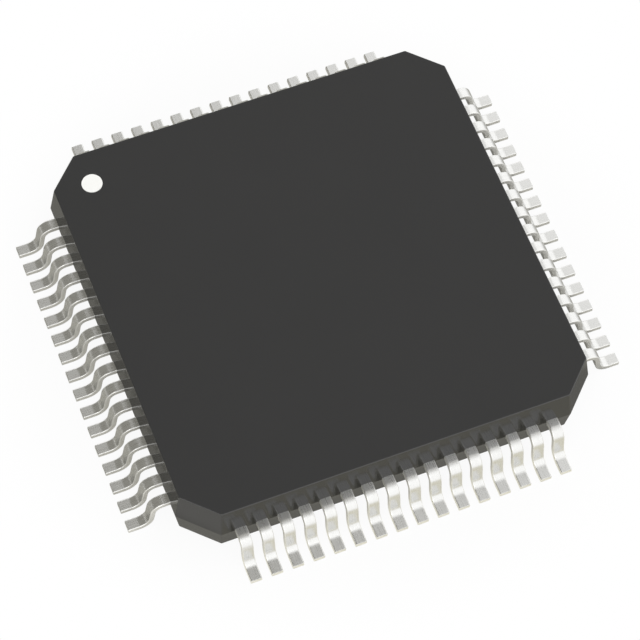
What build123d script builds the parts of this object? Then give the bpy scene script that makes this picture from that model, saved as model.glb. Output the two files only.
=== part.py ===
from build123d import *
from math import cos, hypot, radians, sin, sqrt
import os

# Microcontroller in a quad flat package, in millimetres.
# The origin is the centre of the package on the plane that its lead feet stand on.
# +Z is up, through the marked top. The pin-one corner is at -X, +Y, and the leads
# are numbered from there, counter-clockwise as seen from above.

# Leads outside the body
leads_per_side = 16
lead_pitch = 0.50
lead_width = 0.27
lead_thickness = 0.127
lead_reach = 1.00
shoulder_length = 0.16
bend_inner_radius = 0.185
heel_inner_radius = 0.23
leg_lean = 8.5
bend_flats = 3

# Moulded body
row_margin = 1.25
standoff = 0.10
lower_half_height = 0.70
upper_half_height = 0.80
mould_draft = 8.0
corner_cut = 0.79
edge_radius = 0.03
ejector_mark_radius = 0.50
ejector_mark_depth = 0.04
ejector_mark_inset = 1.60
gate_mark_width = 0.60
gate_mark_height = 0.16
gate_mark_stand = 0.02

# White dot at pin one, measured in from the sides of the body. The ink fills a shallow
# round dimple level with the top face.
mark_radius = 0.25
mark_film = 0.03
mark_from_left = 1.00
mark_from_back = 0.96

# Leads inside the body
finger_straight = 0.45
finger_reach = 1.90
finger_tip_width = 0.18
finger_corner_gap = 0.55

# Die pad and tie bars
pad_gap = 0.35
pad_downset = 0.20
tie_bar_width = 0.25
tie_bar_cover = 0.15
tie_slope_start = 0.30
tie_slope_run = 0.30

# Die and its adhesive
pad_border = 0.85
die_thickness = 0.28
attach_film = 0.03
attach_border = 0.08

# Bond wires
wire_thickness = 0.025
wire_rise = 0.16
wire_landing = 0.15
wire_foot = 0.06
bond_inset = 0.10
bond_corner_margin = 0.25

# Levels and plan sizes that follow from the sizes above
body_half = lead_pitch * (leads_per_side - 1) / 2 + row_margin
parting_level = standoff + lower_half_height
body_top = parting_level + upper_half_height
lead_top = parting_level + lead_thickness / 2
lead_bottom = parting_level - lead_thickness / 2
tip_distance = body_half - finger_reach
pad_half = tip_distance - pad_gap
pad_top = lead_top - pad_downset
pad_bottom = pad_top - lead_thickness
die_half = pad_half - pad_border
die_bottom = pad_top + attach_film
die_top = die_bottom + die_thickness
bond_distance = die_half - bond_inset

# Each row of leads is drawn pointing along +X, then turned to its own side.
# Rows are in pin order: name, turn about Z in degrees.
rows = [("left", 180), ("front", 270), ("right", 0), ("back", 90)]


def spread(half_length):
    """Places of one row's leads, pads or tips, spread evenly over a row of this half length."""
    return [half_length * (2 * i / (leads_per_side - 1) - 1) for i in range(leads_per_side)]


lead_places = spread(lead_pitch * (leads_per_side - 1) / 2)
tip_places = spread(tip_distance - finger_corner_gap)
bond_places = spread(die_half - bond_corner_margin)


def cut_square(half, cut):
    """A square with its four corners cut at 45 degrees."""
    near = half - cut
    corners = [(half, near), (near, half), (-near, half), (-half, near)]
    opposite = [(-x, -y) for x, y in corners]
    return make_face(Polyline(*corners, *opposite, close=True))


def moulding_blank():
    """The moulding without its cavities: two halves drafted away from the parting plane."""
    outline = cut_square(body_half, corner_cut)
    upper = extrude(outline, amount=upper_half_height, taper=mould_draft)
    lower = extrude(outline, amount=lower_half_height, taper=mould_draft)
    blank = Pos(0, 0, parting_level) * (upper + mirror(lower, about=Plane.XY))
    faces = blank.faces().sort_by(Axis.Z)
    rims = faces[0].edges() + faces[-1].edges()
    return fillet(rims, edge_radius)


def ejector_marks():
    """Shallow round marks that the mould's ejector pins leave in the underside."""
    reach = body_half - ejector_mark_inset
    marks = GridLocations(2 * reach, 2 * reach, 2, 2)
    mark = Cylinder(ejector_mark_radius, 2 * ejector_mark_depth)
    return [Pos(0, 0, standoff) * place * mark for place in marks]


def gate_mark():
    """The low stub of compound where the runner broke off, at the back right corner."""
    corner_distance = (2 * body_half - corner_cut) / sqrt(2)
    depth = corner_cut / 2 + gate_mark_stand
    stub = Box(depth, gate_mark_width, gate_mark_height, align=(Align.MAX, Align.CENTER, Align.MAX))
    return Rot(0, 0, 45) * Pos(corner_distance + gate_mark_stand, 0, parting_level) * stub


def flats_of(bend):
    """Ends of the few flats that a bend is drawn with, all of them on its true arc."""
    return [bend @ (i / bend_flats) for i in range(bend_flats + 1)]


def strip_side(side):
    """Outline of one face of the formed lead in side view: top for side 1, bottom for side -1."""
    half = side * lead_thickness / 2
    turn = 90 - leg_lean
    bend_radius = bend_inner_radius + lead_thickness / 2
    heel_radius = heel_inner_radius + lead_thickness / 2
    bends_drop = (bend_radius + heel_radius) * (1 - cos(radians(turn)))
    leg_length = (parting_level - lead_thickness / 2 - bends_drop) / sin(radians(turn))
    root = (body_half - finger_straight, parting_level + half)
    shoulder_end = (body_half + shoulder_length, parting_level + half)
    toe = (body_half + lead_reach, lead_thickness / 2 + half)
    upper_bend = JernArc(shoulder_end, (1, 0), bend_radius + half, -turn)
    leg = Line(upper_bend @ 1, upper_bend @ 1 + leg_length * (upper_bend % 1))
    heel = JernArc(leg @ 1, leg % 1, heel_radius - half, turn)
    return [root, *flats_of(upper_bend), *flats_of(heel), toe]


def formed_strip():
    """The gull wing of one lead, centred on the X axis, from inside the body to the toe of the foot."""
    outline = Polyline(*strip_side(1), *reversed(strip_side(-1)), close=True)
    return extrude(Plane.XZ * make_face(outline), amount=lead_width / 2, both=True)


def finger(lead_place, tip_place):
    """The flat inner end of one lead, running from its straight part to its tip beside the die pad."""
    root_x = body_half - finger_straight
    plan = Polyline(
        (root_x, lead_place + lead_width / 2),
        (root_x, lead_place - lead_width / 2),
        (tip_distance, tip_place - finger_tip_width / 2),
        (tip_distance, tip_place + finger_tip_width / 2),
        close=True,
    )
    return extrude(Pos(0, 0, lead_bottom) * make_face(plan), amount=lead_thickness)


def row_of_leads():
    """The leads of one side, each one solid from its foot to its inner tip."""
    strip = formed_strip()
    leads = []
    for lead_place, tip_place in zip(lead_places, tip_places):
        outside = Pos(0, lead_place, 0) * strip
        leads.append(outside + finger(lead_place, tip_place))
    return leads


def die_pad():
    """The square paddle with its four tie bars, which slope up from it to the level of the leads."""
    side = 2 * pad_half
    paddle = Pos(0, 0, pad_bottom) * Box(side, side, lead_thickness, align=(Align.CENTER, Align.CENTER, Align.MIN))
    pad_corner = pad_half * sqrt(2)
    bar_start = pad_corner - tie_bar_width
    slope_start = pad_corner + tie_slope_start
    slope_end = slope_start + tie_slope_run
    bar_end = (2 * body_half - corner_cut) / sqrt(2) - tie_bar_cover
    under = [(bar_start, pad_bottom), (slope_start, pad_bottom), (slope_end, lead_bottom), (bar_end, lead_bottom)]
    over = [(distance, level + lead_thickness) for distance, level in reversed(under)]
    side_view = make_face(Polyline(*under, *over, close=True))
    bar = extrude(Plane.XZ * side_view, amount=tie_bar_width / 2, both=True)
    for corner in range(4):
        paddle += Rot(0, 0, 45 + 90 * corner) * bar
    return paddle


def square_layer(half, bottom, height):
    """A flat square layer centred on the package."""
    base = (Align.CENTER, Align.CENTER, Align.MIN)
    return Pos(0, 0, bottom) * Box(2 * half, 2 * half, height, align=base)


def bond_wire(lead_place, tip_place, bond_place):
    """One wire, drawn square: up from a pad at the die's edge, then down to the top of a finger."""
    share = wire_landing / (finger_reach - finger_straight)
    end_x = tip_distance + wire_landing
    end_y = tip_place + share * (lead_place - tip_place)
    run_x = end_x - bond_distance
    run_y = end_y - bond_place
    length = hypot(run_x, run_y)
    half = wire_thickness / 2
    loop_level = die_top + wire_rise
    side_view = Polyline(
        (-half, die_top),
        (-half, loop_level),
        (length + wire_foot, lead_top),
        (length, lead_top),
        (half, loop_level - wire_thickness),
        (half, die_top),
        close=True,
    )
    upright = Plane(
        origin=(bond_distance, bond_place, 0),
        x_dir=(run_x, run_y, 0),
        z_dir=(run_y, -run_x, 0),
    )
    return extrude(upright * make_face(side_view), amount=half, both=True)


def row_of_wires():
    """The wires of one side, one for each lead."""
    places = zip(lead_places, tip_places, bond_places)
    return [bond_wire(*wire_places) for wire_places in places]


def pin_one_mark():
    """The white dot of ink, let into the top face."""
    disc = Cylinder(mark_radius, mark_film, align=(Align.CENTER, Align.CENTER, Align.MAX))
    return Pos(mark_from_left - body_half, body_half - mark_from_back, body_top) * disc


leads = []
wires = {}
row_leads = row_of_leads()
row_wires = row_of_wires()
for name, turn in rows:
    leads += [Rot(0, 0, turn) * lead for lead in row_leads]
    wires[name] = [Rot(0, 0, turn) * wire for wire in row_wires]

paddle = die_pad()
attach = square_layer(die_half + attach_border, pad_top, attach_film)
die = square_layer(die_half, die_bottom, die_thickness)
all_wires = [wire for name, turn in rows for wire in wires[name]]
dot = pin_one_mark()
held = [*leads, *all_wires, paddle, attach, die, dot]

body = moulding_blank() + gate_mark()
body = body.cut(*ejector_marks(), *held)

nodes = {
    "moulded_body": body,
    "pin_one_mark": dot,
    "die_pad": paddle,
    "die_attach": attach,
    "silicon_die": die,
}
for name, turn in rows:
    nodes["bond_wires_" + name] = Compound(children=wires[name])
for first in range(0, len(leads), 2):
    pair = leads[first:first + 2]
    numbers = f"{first + 1:02d}_{first + len(pair):02d}"
    nodes["leads_" + numbers] = Compound(children=pair)

os.makedirs("parts", exist_ok=True)
for name, shape in nodes.items():
    export_step(shape, f"parts/{name}.step")
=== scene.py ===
import random
from math import cos, pi, radians, sin, sqrt, tan

import bmesh
import bpy
from mathutils import Matrix, Vector


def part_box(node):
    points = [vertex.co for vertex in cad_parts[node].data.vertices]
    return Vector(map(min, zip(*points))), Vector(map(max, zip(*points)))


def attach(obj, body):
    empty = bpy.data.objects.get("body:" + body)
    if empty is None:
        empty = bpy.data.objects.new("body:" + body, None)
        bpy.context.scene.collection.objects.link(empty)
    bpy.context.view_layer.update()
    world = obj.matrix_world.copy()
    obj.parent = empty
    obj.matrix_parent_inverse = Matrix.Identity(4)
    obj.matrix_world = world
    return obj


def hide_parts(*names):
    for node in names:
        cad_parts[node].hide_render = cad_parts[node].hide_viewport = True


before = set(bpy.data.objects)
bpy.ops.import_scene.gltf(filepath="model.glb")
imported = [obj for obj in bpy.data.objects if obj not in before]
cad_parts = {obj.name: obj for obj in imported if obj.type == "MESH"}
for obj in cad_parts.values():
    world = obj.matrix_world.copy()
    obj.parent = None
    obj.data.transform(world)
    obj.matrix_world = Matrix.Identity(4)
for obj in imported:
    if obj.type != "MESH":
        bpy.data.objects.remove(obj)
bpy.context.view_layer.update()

# Moulded body.
# One block of black epoxy compound, transfer-moulded round the leadframe. Each half drafts away from the
# parting plane. Flat faces keep the mould's eroded, matt skin. The walls and the rims come out smoother.
mm = 0.001
body_low, body_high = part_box("moulded_body")

# Leads 33 and 34 point along +X, so their box gives the parting level and how far a row reaches.
lead_low, lead_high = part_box("leads_33_34")
lead_thickness = 0.127 * mm
parting_level = lead_high.z - lead_thickness / 2
mould_draft = radians(8)
wall_count = 8
corner_cut = 0.79 * mm
upright_radius = 0.05 * mm
upright_steps = 3
rim_radius = 0.03 * mm
rim_steps = 4
upper_side = 1
lower_side = -1
ejector_radius = 0.50 * mm
ejector_depth = 0.04 * mm
ejector_place = body_high.x - 1.60 * mm
ejector_steps = 48
gate_turn = radians(45)
gate_width = 0.60 * mm
gate_height = 0.16 * mm
gate_stand = 0.02 * mm
gate_root = 0.10 * mm
gate_columns = 12
gate_rows = 4
border_stand = 0.3
least_stand = 0.35
tear_seed = 7
mark_low, mark_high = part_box("pin_one_mark")
mark_centre = Vector(((mark_low.x + mark_high.x) / 2, (mark_low.y + mark_high.y) / 2, body_high.z))
mark_radius = (mark_high.x - mark_low.x) / 2
mark_film = mark_high.z - mark_low.z
mark_steps = 96
compound_dark = (0.0165, 0.0165, 0.0165, 1)
compound_light = (0.0225, 0.0225, 0.0225, 1)
polished_black = (0.007, 0.007, 0.007, 1)
cloud_scale = 600
cloud_share = 0.4
filler_scale = 26000
filler_detail = 3.0
filler_relief = 0.0012 * mm
matt_start = 0.02
matt_end = 0.15
wall_roughness = 0.12
matt_roughness = 0.42
matt_variation = 0.12
compound_specular = 0.40
rim_shine = 4.0
rim_roughness = 0.12

# A Mix node has sockets for each kind of data. These are the numbers of those for a colour.
colour_factor = 0
colour_first = 6
colour_second = 7
colour_result = 2


class Signal:
    """One output of a shader node. Arithmetic on it adds Math nodes to the same finish."""

    def __init__(self, finish, socket):
        self.finish = finish
        self.socket = socket

    def __add__(self, other):
        return self.finish.combine("ADD", self, other)

    def __radd__(self, other):
        return self.finish.combine("ADD", other, self)

    def __sub__(self, other):
        return self.finish.combine("SUBTRACT", self, other)

    def __rsub__(self, other):
        return self.finish.combine("SUBTRACT", other, self)

    def __mul__(self, other):
        return self.finish.combine("MULTIPLY", self, other)

    def __rmul__(self, other):
        return self.finish.combine("MULTIPLY", other, self)


class Finish:
    """A procedural material while its nodes are being wired."""

    def __init__(self, tree):
        self.tree = tree
        self.tree.nodes.clear()

    def add(self, kind, settings, sockets, output=0):
        """One node: its settings first, then the values or links of its sockets."""
        node = self.tree.nodes.new("ShaderNode" + kind)
        for name, value in settings.items():
            setattr(node, name, value)
        for name, value in sockets.items():
            if isinstance(value, Signal):
                self.tree.links.new(value.socket, node.inputs[name])
            else:
                node.inputs[name].default_value = value
        return Signal(self, node.outputs[output]) if node.outputs else None

    def combine(self, operation, first, second):
        return self.add("Math", {"operation": operation}, {0: first, 1: second})

    def mix(self, factor, first, second):
        """A colour between two others."""
        sockets = {colour_factor: factor, colour_first: first, colour_second: second}
        return self.add("Mix", {"data_type": "RGBA"}, sockets, colour_result)

    def noise(self, place, scale=1.0, detail=2.0):
        return self.add("TexNoise", {}, {"Vector": place, "Scale": scale, "Detail": detail})

    def place(self):
        """Where the surface point is in the frame, in metres."""
        return self.add("TexCoord", {}, {}, "Object")

    def part(self, vector, axis):
        """One part of a vector: X, Y or Z."""
        return self.add("SeparateXYZ", {}, {"Vector": vector}, axis)

    def bump(self, height, distance):
        return self.add("Bump", {}, {"Strength": 1.0, "Distance": distance, "Height": height})


def blank_material(name):
    """A new material, and the finish that fills it."""
    material = bpy.data.materials.new(name)
    material.use_nodes = True
    return material, Finish(material.node_tree)


def surface(name, wire):
    """A material of one principled shader. wire says what feeds it, given the finish."""
    material, finish = blank_material(name)
    shader = finish.add("BsdfPrincipled", {}, wire(finish))
    finish.add("OutputMaterial", {}, {"Surface": shader})
    return material


def compound(finish):
    """Matt and speckled on the flat faces, smooth on the walls, and glossiest on the round rims."""
    place = finish.place()
    cloud = finish.noise(place, cloud_scale)
    filler = finish.noise(place, filler_scale, filler_detail)
    upward = finish.part(finish.add("TexCoord", {}, {}, "Normal"), "Z")
    flatness = upward * upward
    matt = finish.add("MapRange", {}, {"Value": flatness, "From Min": matt_start, "From Max": matt_end})
    speckle = cloud_share * cloud + (1 - cloud_share) * filler
    eroded = finish.mix(speckle, compound_dark, compound_light)
    return {
        "Base Color": finish.mix(matt, polished_black, eroded),
        "Roughness": wall_roughness + matt * (matt_roughness + matt_variation * filler),
        "Specular IOR Level": compound_specular,
        "Coat Weight": rim_shine * flatness * (1.0 - flatness),
        "Coat Roughness": rim_roughness,
        "Normal": finish.bump(matt * filler, filler_relief),
    }


class Skin:
    """Collects the faces of one piece, each corner with its own surface normal."""

    def __init__(self):
        self.points = []
        self.faces = []
        self.normals = []
        self.notes = {}

    def ring(self, points, **notes):
        """Adds points and returns their numbers. notes are values that the finish reads at each of them."""
        first = len(self.points)
        self.points += [Vector(point) for point in points]
        for name, values in notes.items():
            self.notes.setdefault(name, []).extend(values)
        return list(range(first, len(self.points)))

    def face(self, corners, normals):
        self.faces.append(tuple(corners))
        self.normals += [Vector(normal).normalized() for normal in normals]

    def flat(self, corners, normal):
        self.face(corners, [normal] * len(corners))

    def facet(self, corners):
        """A flat face that takes its normal from the way its first three corners turn."""
        first, second, third = (self.points[number] for number in corners[:3])
        self.flat(corners, (second - first).cross(third - second))

    def bands(self, rings):
        """Faces between each closed ring and the next. A ring is its points' numbers and their normals."""
        for (near, near_normals), (far, far_normals) in zip(rings, rings[1:]):
            if near is not far:
                for i in range(len(near)):
                    j = (i + 1) % len(near)
                    normals = (near_normals[i], near_normals[j], far_normals[j], far_normals[i])
                    self.face((near[i], near[j], far[j], far[i]), normals)

    def piece(self, name, material):
        """The finished object, linked to the scene."""
        mesh = bpy.data.meshes.new(name)
        mesh.from_pydata(self.points, [], self.faces)
        mesh.shade_smooth()
        mesh.normals_split_custom_set(self.normals)
        for note, values in self.notes.items():
            mesh.attributes.new(note, "FLOAT", "POINT").data.foreach_set("value", values)
        mesh.materials.append(material)
        made = bpy.data.objects.new(name, mesh)
        bpy.context.scene.collection.objects.link(made)
        return made


def outward(turn, lift=0.0):
    """The direction at a turn about Z and a lift above the horizontal."""
    return Vector((cos(lift) * cos(turn), cos(lift) * sin(turn), sin(lift)))


def outline(inset):
    """The square with cut corners, pulled in by inset, as points and the turn of the wall at each."""
    side = body_high.x - inset
    chamfer = (2 * body_high.x - corner_cut) / sqrt(2) - inset
    walls = [side, chamfer] * (wall_count // 2)
    wall_turn = 2 * pi / wall_count
    points, turns = [], []
    for wall in range(wall_count):
        here = walls[wall] - upright_radius
        beyond = walls[(wall + 1) % wall_count] - upright_radius
        along = (beyond - here * cos(wall_turn)) / sin(wall_turn)
        start = wall * wall_turn
        centre = here * outward(start) + along * outward(start + pi / 2)
        for step in range(upright_steps + 1):
            turn = start + wall_turn * step / upright_steps
            points.append(centre + upright_radius * outward(turn))
            turns.append(turn)
    return points, turns


def rim(half_height, edge_level, side):
    """The rounded rim of one mould half: inset, level and lift from the wall to the flat face."""
    centre_inset = (half_height - rim_radius) * tan(mould_draft) + rim_radius / cos(mould_draft)
    centre_level = edge_level - side * rim_radius
    stations = []
    for step in range(rim_steps + 1):
        lift = mould_draft + (pi / 2 - mould_draft) * step / rim_steps
        inset = centre_inset - rim_radius * cos(lift)
        level = centre_level + side * rim_radius * sin(lift)
        stations.append((inset, level, side * lift))
    return stations


def sink(skin, centre, radius, steps, depth, side):
    """A shallow round sunk at centre into the upper or the lower side of the body. Returns its edge."""
    turns = [2 * pi * step / steps for step in range(steps)]
    facing = Vector((0, 0, side))
    edge = skin.ring([centre + radius * outward(turn) for turn in turns])
    bottom = skin.ring([centre - depth * facing + radius * outward(turn) for turn in turns])
    inward = [-outward(turn) for turn in turns]
    if side == upper_side:
        skin.bands([(edge, inward), (bottom, inward)])
        skin.flat(bottom, facing)
    else:
        skin.bands([(bottom, inward), (edge, inward)])
        skin.flat(list(reversed(bottom)), facing)
    return edge


def plate(skin, loops, side):
    """The flat face between its own edge, the first loop, and the edges of the rounds sunk into it."""
    facing = Vector((0, 0, side))
    sheet = bmesh.new()
    corner = {}
    for loop in loops:
        made = [sheet.verts.new(skin.points[number]) for number in loop]
        corner.update(zip(made, loop))
        for here, beyond in zip(made, made[1:] + made[:1]):
            sheet.edges.new((here, beyond))
    bmesh.ops.triangle_fill(sheet, use_beauty=True, use_dissolve=False, edges=sheet.edges[:])
    for triangle in sheet.faces:
        numbers = [corner[vertex] for vertex in triangle.verts]
        triangle.normal_update()
        skin.flat(numbers if triangle.normal.dot(facing) > 0 else list(reversed(numbers)), facing)
    sheet.free()


def gate_stub(skin):
    """The torn stub of compound where the runner broke away, low on the back right corner."""
    tear = random.Random(tear_seed)
    face_distance = (2 * body_high.x - corner_cut) / sqrt(2)
    out = outward(gate_turn)
    across = outward(gate_turn + pi / 2)
    grid = []
    for row in range(gate_rows + 1):
        level = parting_level - gate_height * (1 - row / gate_rows)
        line = []
        for column in range(gate_columns + 1):
            offset = gate_width * (column / gate_columns - 0.5)
            at_border = row in (0, gate_rows) or column in (0, gate_columns)
            stand = gate_stand * (border_stand if at_border else tear.uniform(least_stand, 1.0))
            line.append((face_distance + stand) * out + offset * across + Vector((0, 0, level)))
        grid.append(skin.ring(line))
    upward_end = [line[-1] for line in grid[1:]]
    downward_end = [line[0] for line in grid[-2:0:-1]]
    border = grid[0] + upward_end + grid[-1][-2::-1] + downward_end
    sunk = skin.ring([skin.points[number] - gate_root * out for number in border])
    for below, above in zip(grid, grid[1:]):
        for column in range(gate_columns):
            skin.facet((below[column], below[column + 1], above[column + 1], above[column]))
    for i in range(len(border)):
        j = (i + 1) % len(border)
        skin.facet((sunk[i], sunk[j], border[j], border[i]))
    skin.flat(list(reversed(sunk)), -out)


def body_skin():
    """Two drafted halves, with the dimple for the mark, the ejector marks and the stub of the gate."""
    skin = Skin()
    lower = rim(parting_level - body_low.z, body_low.z, lower_side)
    upper = rim(body_high.z - parting_level, body_high.z, upper_side)
    seam_below = (0.0, parting_level, -mould_draft)
    seam_above = (0.0, parting_level, mould_draft)
    rings = []
    for station in [*reversed(lower), seam_below, seam_above, *upper]:
        inset, level, lift = station
        points, turns = outline(inset)
        if station is not seam_above:
            numbers = skin.ring([(point.x, point.y, level) for point in points])
        rings.append((numbers, [outward(turn, lift) for turn in turns]))
    skin.bands(rings)
    dimple = sink(skin, mark_centre, mark_radius, mark_steps, mark_film, upper_side)
    plate(skin, [rings[-1][0], dimple], upper_side)
    places = (-ejector_place, ejector_place)
    pins = [Vector((x, y, body_low.z)) for x in places for y in places]
    rounds = [sink(skin, pin, ejector_radius, ejector_steps, ejector_depth, lower_side) for pin in pins]
    plate(skin, [rings[0][0], *rounds], lower_side)
    gate_stub(skin)
    return skin


def settle(made, slot, *nodes):
    """Fixes a finished piece to the one rigid body of the package, in place of its CAD nodes."""
    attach(made, "root")
    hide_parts(*nodes)


body = body_skin().piece("moulded_housing", surface("black_moulding_compound", compound))
settle(body, "moulding_compound", "moulded_body")

# Pin-one mark.
# A round spot of white epoxy ink, pad-printed in a shallow dimple so that it lies level with the top. Its
# edge is soft and a little uneven, where the ink drew back while it cured.
mark_edge = 0.004 * mm
mark_edge_steps = 3
shrink = 0.006 * mm
ripples = 9
cure_seed = 3
ink_white = (0.955, 0.955, 0.935, 1)
ink_shade = (0.93, 0.93, 0.91, 1)
ink_grain_scale = 30000
ink_relief = 0.0006 * mm
ink_roughness = 0.50
ink_variation = 0.15
ink_specular = 0.3


def ink(finish):
    """Chalky white, with the fine grain of its pigment."""
    grain = finish.noise(finish.place(), ink_grain_scale)
    return {
        "Base Color": finish.mix(grain, ink_shade, ink_white),
        "Roughness": ink_roughness + ink_variation * grain,
        "Specular IOR Level": ink_specular,
        "Normal": finish.bump(grain, ink_relief),
    }


def mark_skin():
    """The film of ink, its edge drawn in unevenly from the wall of the dimple."""
    skin = Skin()
    cure = random.Random(cure_seed)
    waves = [(cure.uniform(0, 1) / ripple, cure.uniform(0, 2 * pi)) for ripple in range(1, ripples + 1)]
    most = sum(height for height, start in waves)
    turns = [2 * pi * step / mark_steps for step in range(mark_steps)]
    drawn_in = []
    for turn in turns:
        swell = sum(height * sin(ripple * turn + start) for ripple, (height, start) in enumerate(waves, 1))
        drawn_in.append(shrink * (1 + swell / most))
    stations = [(mark_radius, -mark_film, 0.0)]
    for step in range(mark_edge_steps + 1):
        lift = pi / 2 * step / mark_edge_steps
        stations.append((mark_radius - mark_edge * (1 - cos(lift)), mark_edge * (sin(lift) - 1), lift))
    rings = []
    for radius, height, lift in stations:
        centre = mark_centre + Vector((0, 0, height))
        points = [centre + (radius - inset) * outward(turn) for turn, inset in zip(turns, drawn_in)]
        rings.append((skin.ring(points), [outward(turn, lift) for turn in turns]))
    skin.bands(rings)
    skin.flat(rings[-1][0], (0, 0, 1))
    skin.flat(list(reversed(rings[0][0])), (0, 0, -1))
    return skin


mark = mark_skin().piece("printed_pin_one_mark", surface("white_marking_ink", ink))
settle(mark, "white_ink", "pin_one_mark")

# Leads.
# Strips of copper alloy, stamped from the leadframe, which rolls their edges, then plated with matt tin and
# formed into gull wings. In the body each strip runs on as a finger that fans in to the die.
lead_pitch = 0.50 * mm
lead_width = 0.27 * mm
leads_per_side = 16
lead_reach = lead_high.x
shoulder_length = 0.16 * mm
bend_radius = 0.185 * mm + lead_thickness / 2
heel_radius = 0.23 * mm + lead_thickness / 2
leg_turn = radians(81.5)
bend_steps = 10
tip_distance = lead_low.x
finger_straight = 0.45 * mm
finger_tip_width = 0.18 * mm
finger_corner_gap = 0.55 * mm
upper_edge = 0.028 * mm
lower_edge = 0.014 * mm
edge_steps = 3
toe_edge = 0.010 * mm
toe_steps = 2
tin_light = (0.79, 0.79, 0.78, 1)
tin_shade = (0.635, 0.635, 0.62, 1)
bare_cut = (0.92, 0.915, 0.89, 1)
cut_share = 0.8
streak_count = 34
streak_stretch = 1.6
streak_detail = 3.0
streak_share = 0.7
streak_height = 0.8
streak_relief = 0.0004 * mm
grain_scale = 45
strip_offset = 3.7
tin_roughness = 0.22
streak_roughness = 0.08
grain_roughness = 0.04
cut_roughness = 0.30


def noted(finish, name):
    """A value that the mesh notes at its points."""
    return finish.add("Attribute", {"attribute_name": name}, {}, "Fac")


def tin(finish):
    """Faint rolling streaks along each strip, and sheared sides, paler and duller than the faces."""
    across = noted(finish, "across")
    along = noted(finish, "along")
    strip = noted(finish, "strip")
    sheared = noted(finish, "sheared")
    stretched = {"X": across * streak_count, "Y": along * streak_stretch, "Z": strip * strip_offset}
    streaks = finish.noise(finish.add("CombineXYZ", {}, stretched), detail=streak_detail)
    even = {"X": across, "Y": along, "Z": strip}
    grain = finish.noise(finish.add("CombineXYZ", {}, even), grain_scale)
    plated = finish.mix(streak_share * streaks + (1 - streak_share) * grain, tin_shade, tin_light)
    rolled = tin_roughness + streak_roughness * streaks + grain_roughness * grain
    return {
        "Base Color": finish.mix(cut_share * sheared, plated, bare_cut),
        "Metallic": 1.0,
        "Roughness": rolled + cut_roughness * sheared,
        "Normal": finish.bump(streak_height * streaks + (1 - streak_height) * grain, streak_relief),
    }


def section(width, trim):
    """The strip's cross-section, pulled in by trim: place across, place up, and turn of the edge."""
    corners = [
        (1, 1, upper_edge),
        (-1, 1, upper_edge),
        (-1, -1, lower_edge),
        (1, -1, lower_edge),
    ]
    points = []
    for quarter, (side, face, radius) in enumerate(corners):
        centre_across = side * (width / 2 - radius)
        centre_up = face * (lead_thickness / 2 - radius)
        for step in range(edge_steps + 1):
            turn = pi / 2 * (quarter + step / edge_steps)
            reach = radius - trim
            points.append((centre_across + reach * cos(turn), centre_up + reach * sin(turn), turn))
    return points


def strip_path(lead_place, tip_place):
    """Stations along one lead, from its inner tip: distance out, level, slope, place across and width."""
    body_half = body_high.x
    shoulder_end = body_half + shoulder_length
    foot_level = lead_thickness / 2
    stations = [
        (tip_distance, parting_level, 0.0, tip_place, finger_tip_width),
        (body_half - finger_straight, parting_level, 0.0, lead_place, lead_width),
        (body_half, parting_level, 0.0, lead_place, lead_width),
    ]
    for step in range(bend_steps + 1):
        turn = leg_turn * step / bend_steps
        out = shoulder_end + bend_radius * sin(turn)
        level = parting_level - bend_radius * (1 - cos(turn))
        stations.append((out, level, -turn, lead_place, lead_width))
    both_radii = bend_radius + heel_radius
    drop = parting_level - foot_level - both_radii * (1 - cos(leg_turn))
    foot_start = shoulder_end + both_radii * sin(leg_turn) + drop / tan(leg_turn)
    for step in range(bend_steps + 1):
        turn = leg_turn * (1 - step / bend_steps)
        out = foot_start - heel_radius * sin(turn)
        level = foot_level + heel_radius * (1 - cos(turn))
        stations.append((out, level, -turn, lead_place, lead_width))
    stations.append((lead_reach, foot_level, 0.0, lead_place, lead_width))
    return stations


def add_lead(skin, lead_place, tip_place, row_turn, number):
    """One lead with a rounded toe. Its points note where on the strip they lie, in millimetres."""
    spin = Matrix.Rotation(row_turn, 3, "Z")
    stations = strip_path(lead_place, tip_place)
    toe_lifts = [pi / 2 * step / toe_steps for step in range(toe_steps + 1)]
    rings = []
    length = 0.0
    last = None
    for station in stations:
        out, level, slope, place, width = station
        centre = Vector((out, place, level))
        length += (centre - last).length if last else 0.0
        last = centre
        forward = Vector((cos(slope), 0, sin(slope)))
        upward = Vector((-sin(slope), 0, cos(slope)))
        at_toe = station is stations[-1]
        lifts = toe_lifts if at_toe else [0.0]
        for lift in lifts:
            trim = toe_edge * (1 - cos(lift))
            back = toe_edge * (1 - sin(lift)) if at_toe else 0.0
            points, normals, across, along, sheared = [], [], [], [], []
            for aside, up, turn in section(width, trim):
                points.append(spin @ (centre - back * forward + Vector((0, aside, 0)) + up * upward))
                sideways = Vector((0, cos(turn), 0)) + sin(turn) * upward
                normals.append(spin @ (cos(lift) * sideways + sin(lift) * forward))
                across.append((aside + up) / mm)
                along.append((length - back) / mm)
                sheared.append(abs(cos(turn)))
            strip = [number] * len(points)
            numbers = skin.ring(points, across=across, along=along, strip=strip, sheared=sheared)
            rings.append((numbers, normals))
    skin.bands(rings)
    skin.flat(list(reversed(rings[0][0])), spin @ Vector((-1, 0, 0)))
    skin.flat(rings[-1][0], spin @ Vector((1, 0, 0)))


def spread(half_length):
    """Places of one row, spread evenly over this half length."""
    return [half_length * (2 * i / (leads_per_side - 1) - 1) for i in range(leads_per_side)]


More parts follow.
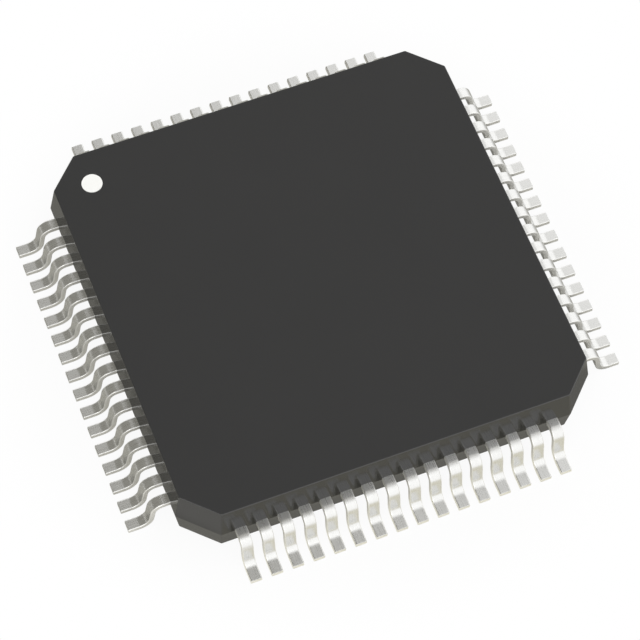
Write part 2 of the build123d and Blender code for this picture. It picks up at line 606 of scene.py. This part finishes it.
matt_tin = surface("matt_tin_plate", tin)
lead_places = spread(lead_pitch * (leads_per_side - 1) / 2)
tip_places = spread(tip_distance - finger_corner_gap)
row_turns = [radians(180), radians(270), radians(0), radians(90)]
for row, row_turn in enumerate(row_turns):
    for first in range(0, leads_per_side, 2):
        pair = Skin()
        numbers = [row * leads_per_side + index + 1 for index in (first, first + 1)]
        for number, index in zip(numbers, (first, first + 1)):
            add_lead(pair, lead_places[index], tip_places[index], row_turn, number)
        ending = f"{numbers[0]:02d}_{numbers[1]:02d}"
        settle(pair.piece("formed_leads_" + ending, matt_tin), "tinned_copper", "leads_" + ending)

# Leadframe paddle.
# The square copper paddle that the die sits on, from the same rolled strip as the leads and set down below
# them. It stays bare, so it keeps the mill's rolling lines and a warm oxide bloom.
copper_light = (0.80, 0.47, 0.34, 1)
copper_dark = (0.62, 0.33, 0.22, 1)
bloom_scale = 900
rolling_scale = (900, 25000, 25000)
rolling_relief = 0.0010 * mm
copper_roughness = 0.28
rolling_roughness = 0.12
bloom_roughness = 0.10


def copper(finish):
    """Close rolling lines along X, under a cloudy bloom."""
    place = finish.place()
    bloom = finish.noise(place, bloom_scale)
    stretched = finish.add("VectorMath", {"operation": "MULTIPLY"}, {0: place, 1: rolling_scale})
    lines = finish.noise(stretched)
    return {
        "Base Color": finish.mix(bloom, copper_light, copper_dark),
        "Metallic": 1.0,
        "Roughness": copper_roughness + rolling_roughness * lines + bloom_roughness * bloom,
        "Normal": finish.bump(lines, rolling_relief),
    }


def coat(node, material):
    """Gives a CAD node its finish."""
    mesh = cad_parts[node].data
    mesh.materials.clear()
    mesh.materials.append(material)


coat("die_pad", surface("rolled_copper", copper))

# Die attach.
# The thin layer of silver-filled epoxy that glues the die to the paddle, squeezed out a little round its
# edge. Flakes of silver glint in it.
adhesive_grey = (0.42, 0.42, 0.40, 1)
adhesive_flake = (0.70, 0.70, 0.68, 1)
flake_scale = 40000
flake_relief = 0.0015 * mm
flake_metal = 0.6
adhesive_roughness = 0.45
flake_roughness = 0.2


def adhesive(finish):
    """Grey epoxy with a metallic flake in each cell."""
    cells = finish.add("TexVoronoi", {}, {"Vector": finish.place(), "Scale": flake_scale}, "Color")
    shine = finish.add("SeparateColor", {}, {"Color": cells})
    return {
        "Base Color": finish.mix(shine, adhesive_grey, adhesive_flake),
        "Metallic": flake_metal * shine,
        "Roughness": adhesive_roughness + flake_roughness * shine,
        "Normal": finish.bump(shine, flake_relief),
    }


coat("die_attach", surface("silver_filled_adhesive", adhesive))

# Silicon die.
# A square of polished silicon, sawn from a wafer. Its passivation glass shows soft bands of colour, from
# blue-grey to violet, over the blocks of the circuit.
glass_blue = (0.17, 0.20, 0.27, 1)
glass_violet = (0.24, 0.18, 0.27, 1)
band_scale = 700
band_detail = 1.0
band_share = 0.7
block_scale = 5200
silicon_metal = 0.7
glass_roughness = 0.12
block_roughness = 0.12
glass_coat = 0.4
band_coat = 0.2


def silicon(finish):
    """Wide bands of colour over square-sided patches."""
    place = finish.place()
    bands = finish.noise(place, band_scale, band_detail)
    square = {"distance": "CHEBYCHEV"}
    cells = finish.add("TexVoronoi", square, {"Vector": place, "Scale": block_scale}, "Color")
    blocks = finish.add("SeparateColor", {}, {"Color": cells})
    return {
        "Base Color": finish.mix(band_share * bands + (1 - band_share) * blocks, glass_blue, glass_violet),
        "Metallic": silicon_metal,
        "Roughness": glass_roughness + block_roughness * blocks,
        "Coat Weight": glass_coat + band_coat * bands,
    }


coat("silicon_die", surface("passivated_silicon", silicon))

# Bond wires.
# Drawn gold wire, welded from the pads along the die's edge to the tips of the fingers, one to each lead.
# Drawing leaves it bright, with a faint cloudiness.
gold_light = (1.00, 0.78, 0.36, 1)
gold_dark = (0.86, 0.60, 0.22, 1)
drawing_scale = 20000
gold_roughness = 0.16
drawing_roughness = 0.12


def gold(finish):
    """Bright gold, a little darker and duller in patches."""
    patches = finish.noise(finish.place(), drawing_scale)
    return {
        "Base Color": finish.mix(patches, gold_dark, gold_light),
        "Metallic": 1.0,
        "Roughness": gold_roughness + drawing_roughness * patches,
    }


drawn_gold = surface("drawn_gold", gold)
for side in ("left", "front", "right", "back"):
    coat("bond_wires_" + side, drawn_gold)

# Floor.
# A pale matt disc under the feet. The camera sees it nearly white, with a soft shadow near the part. To
# mirror rays it shows painted light and shade: painted pools of light in front, at the right and off the
# front left corner, painted shade elsewhere, and a darker painted shadow under the right leads.
floor_radius = 300 * mm
floor_drop = 0.001 * mm
floor_steps = 128
floor_white = (0.82, 0.82, 0.82, 1)
plain_white = (1, 1, 1, 1)
shadow_start = 6 * mm
shadow_fade = 3 * mm
camera_white = 0.93
mirror_share = 0.95
# Colours of the light and shade painted on the table for mirror rays, and where the painted shadow and the
# painted pools of light lie.
painted_shade_colour = (0.42, 0.41, 0.365, 1)
painted_shadow_colour = (0.25, 0.245, 0.22, 1)
painted_front_light = (0.86, 0.83, 0.70, 1)
painted_right_light = (0.90, 0.90, 0.90, 1)
painted_corner_light = (1.00, 0.98, 0.92, 1)
painted_shadow_start = 4.4 * mm
painted_shadow_end = 5.65 * mm
painted_shadow_fade = 0.2 * mm
front_edge = 5.0 * mm
front_fade = 0.5 * mm
right_edge = 6.5 * mm
right_fade = 2.0 * mm
corner_edge = 9.6 * mm
corner_reach = 6.4 * mm
corner_fade = 0.8 * mm


def ray(finish, kind):
    """1 for rays of this kind, such as Camera, and 0 for others."""
    return finish.add("LightPath", {}, {}, f"Is {kind} Ray")


def fade(finish, value, start, width):
    """Rises smoothly from 0 at start to 1 a width further on."""
    settings = {"interpolation_type": "SMOOTHSTEP"}
    return finish.add("MapRange", settings, {"Value": value, "From Min": start, "From Max": start + width})


def painted_table_light(finish):
    """Painted light and shade on the table as mirror rays see it, with a painted shadow in a strip under
    the right leads.
    """
    place = finish.place()
    right = finish.part(place, "X")
    front = 0.0 - finish.part(place, "Y")
    left = 0.0 - right
    past_shade = fade(finish, right, painted_shadow_end, painted_shadow_fade)
    painted_shadow_mask = fade(finish, right, painted_shadow_start, painted_shadow_fade) * (1.0 - past_shade)
    # Painted shade near the part, darker in the painted shadow strip, with painted pools of light laid over
    # it.
    near = finish.mix(painted_shadow_mask, painted_shade_colour, painted_shadow_colour)
    with_front = finish.mix(fade(finish, front, front_edge, front_fade), near, painted_front_light)
    past_corner = fade(finish, left, corner_reach, corner_fade)
    corner = fade(finish, front + left, corner_edge, corner_fade) * (1.0 - past_corner)
    with_corner = finish.mix(corner, with_front, painted_corner_light)
    return finish.mix(fade(finish, right, right_edge, right_fade), with_corner, painted_right_light)


def floor_finish():
    """Nearly white to the camera and wholly so further out, painted light and shade to mirror rays, matt
    otherwise.
    """
    material, finish = blank_material("white_table")
    distance = finish.add("VectorMath", {"operation": "LENGTH"}, {0: finish.place()}, "Value")
    far = fade(finish, distance, shadow_start, shadow_fade)
    matt = finish.add("BsdfDiffuse", {}, {"Color": floor_white})
    white = finish.add("Emission", {}, {"Color": plain_white, "Strength": 1.0})
    whiteness = ray(finish, "Camera") * (camera_white + (1 - camera_white) * far)
    shown = finish.add("MixShader", {}, {0: whiteness, 1: matt, 2: white})
    # Mirror rays see the table's painted light and shade as a glow.
    painted_table_glow = finish.add("Emission", {}, {"Color": painted_table_light(finish), "Strength": 1.0})
    mirrored = ray(finish, "Glossy") + ray(finish, "Transmission")
    blend = finish.add("MixShader", {}, {0: mirrored * mirror_share, 1: shown, 2: painted_table_glow})
    finish.add("OutputMaterial", {}, {"Surface": blend})
    return material


table = bmesh.new()
bmesh.ops.create_circle(table, cap_ends=True, segments=floor_steps, radius=floor_radius)
floor_mesh = bpy.data.meshes.new("floor")
table.to_mesh(floor_mesh)
table.free()
floor_mesh.materials.append(floor_finish())
floor = bpy.data.objects.new("floor", floor_mesh)
floor.location.z = -floor_drop
bpy.context.scene.collection.objects.link(floor)

# Studio.
# A bright white room, screened off to a dim grey overhead and to the back left, with one large soft box at
# the front left. The camera itself sees the room as plain white.
room_white = (1.33, 1.33, 1.33, 1)
screened_grey = (0.30, 0.292, 0.262, 1)
screen_azimuth = radians(-72)
screen_elevation = radians(52)
screen_inner = radians(48.5)
screen_outer = radians(51)
box_size = 90 * mm
box_distance = 130 * mm
box_azimuth = radians(-140)
box_elevation = radians(50)
box_watts_per_area = 5.2


def heading(azimuth, elevation):
    """The direction at an azimuth from +Y toward +X, and an elevation."""
    return Vector((cos(elevation) * sin(azimuth), cos(elevation) * cos(azimuth), sin(elevation)))


studio = bpy.data.worlds.new("studio")
studio.use_nodes = True
bpy.context.scene.world = studio
room = Finish(studio.node_tree)
direction = room.add("TexCoord", {}, {}, "Generated")
screen = heading(screen_azimuth, screen_elevation)
nearness = room.add("VectorMath", {"operation": "DOT_PRODUCT"}, {0: direction, 1: screen}, "Value")
screened = fade(room, nearness, cos(screen_outer), cos(screen_inner) - cos(screen_outer))
light = room.mix(screened, room_white, screened_grey)
shown = room.mix(ray(room, "Camera"), light, plain_white)
backdrop = room.add("Background", {}, {"Color": shown, "Strength": 1.0})
room.add("OutputWorld", {}, {"Surface": backdrop})

soft_box = bpy.data.lights.new("soft_box", "AREA")
soft_box.size = box_size
soft_box.energy = box_watts_per_area * box_size ** 2
lamp = bpy.data.objects.new("soft_box", soft_box)
toward_box = heading(box_azimuth, box_elevation)
lamp.location = box_distance * toward_box
lamp.rotation_mode = "QUATERNION"
lamp.rotation_quaternion = toward_box.to_track_quat("Z", "Y")
bpy.context.scene.collection.objects.link(lamp)

# Camera.
# A long lens, high above the front left, with the horizon tipped by a few degrees. The lens and the sensor
# are in millimetres.
camera_azimuth = radians(-24.384)
camera_elevation = radians(61.859)
camera_tip = radians(3.297)
camera_place = Vector((-13.8666, -30.9023, 62.6753)) * mm
lens = 172.39
sensor = 36
near_clip = 1 * mm

camera_data = bpy.data.cameras.new("camera")
camera_data.lens = lens
camera_data.sensor_width = sensor
camera_data.clip_start = near_clip
camera = bpy.data.objects.new("camera", camera_data)
swing = Matrix.Rotation(camera_azimuth, 4, "Z")
pitch = Matrix.Rotation(pi / 2 - camera_elevation, 4, "X")
roll = Matrix.Rotation(camera_tip, 4, "Z")
camera.matrix_world = Matrix.Translation(camera_place) @ swing @ pitch @ roll
bpy.context.scene.collection.objects.link(camera)
bpy.context.scene.camera = camera
bpy.context.scene.view_settings.view_transform = "Standard"
